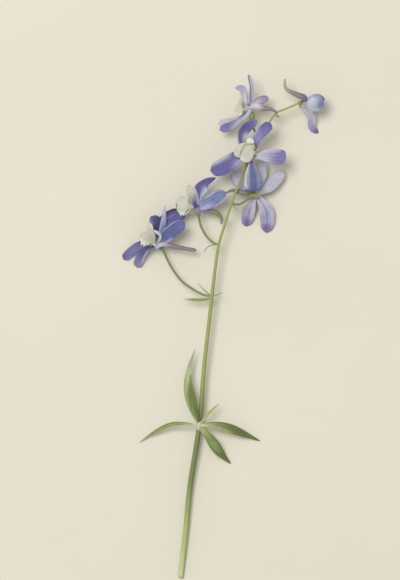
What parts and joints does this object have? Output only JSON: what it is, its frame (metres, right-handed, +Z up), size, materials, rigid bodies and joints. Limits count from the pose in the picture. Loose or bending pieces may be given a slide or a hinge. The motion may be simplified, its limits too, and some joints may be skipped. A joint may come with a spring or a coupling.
{
  "type": "larkspur flower spike",
  "caption": "Cut larkspur flower spike lying down, with a slender stem, a palmate stem leaf, small bracts and spurred violet-blue blooms on thin stalks.",
  "frame": {"origin": "on the surface under the middle of the spike's bounding box, as it lies", "axes": "+Y along the stem from the cut foot towards the tip, +X to the right seen from above, +Z up"},
  "size_m": [0.0914, 0.2259, 0.0188],
  "materials": {
    "stem green": "matte",
    "leaf green": "matte",
    "sepal violet": "matte",
    "petal white": "matte",
    "anther olive": "matte"
  },
  "bodies": {
    "root": {"flower_stem": "stem green", "stem_leaf": "leaf green", "bloom_a_sepals": "sepal violet", "bloom_b_sepals": "sepal violet", "bloom_c_sepals": "sepal violet", "bloom_d_sepals": "sepal violet", "bloom_e_sepals": "sepal violet", "bloom_f_sepals": "sepal violet", "bloom_a_petals": "petal white", "bloom_b_petals": "petal white", "bloom_c_petals": "petal white", "bloom_d_petals": "petal white", "bloom_e_petals": "petal white", "bloom_f_petals": "petal white", "bloom_a_stamens": "anther olive", "bloom_b_stamens": "anther olive", "bloom_c_stamens": "anther olive", "bloom_d_stamens": "anther olive", "bloom_e_stamens": "anther olive"}
  },
  "joints": []
}
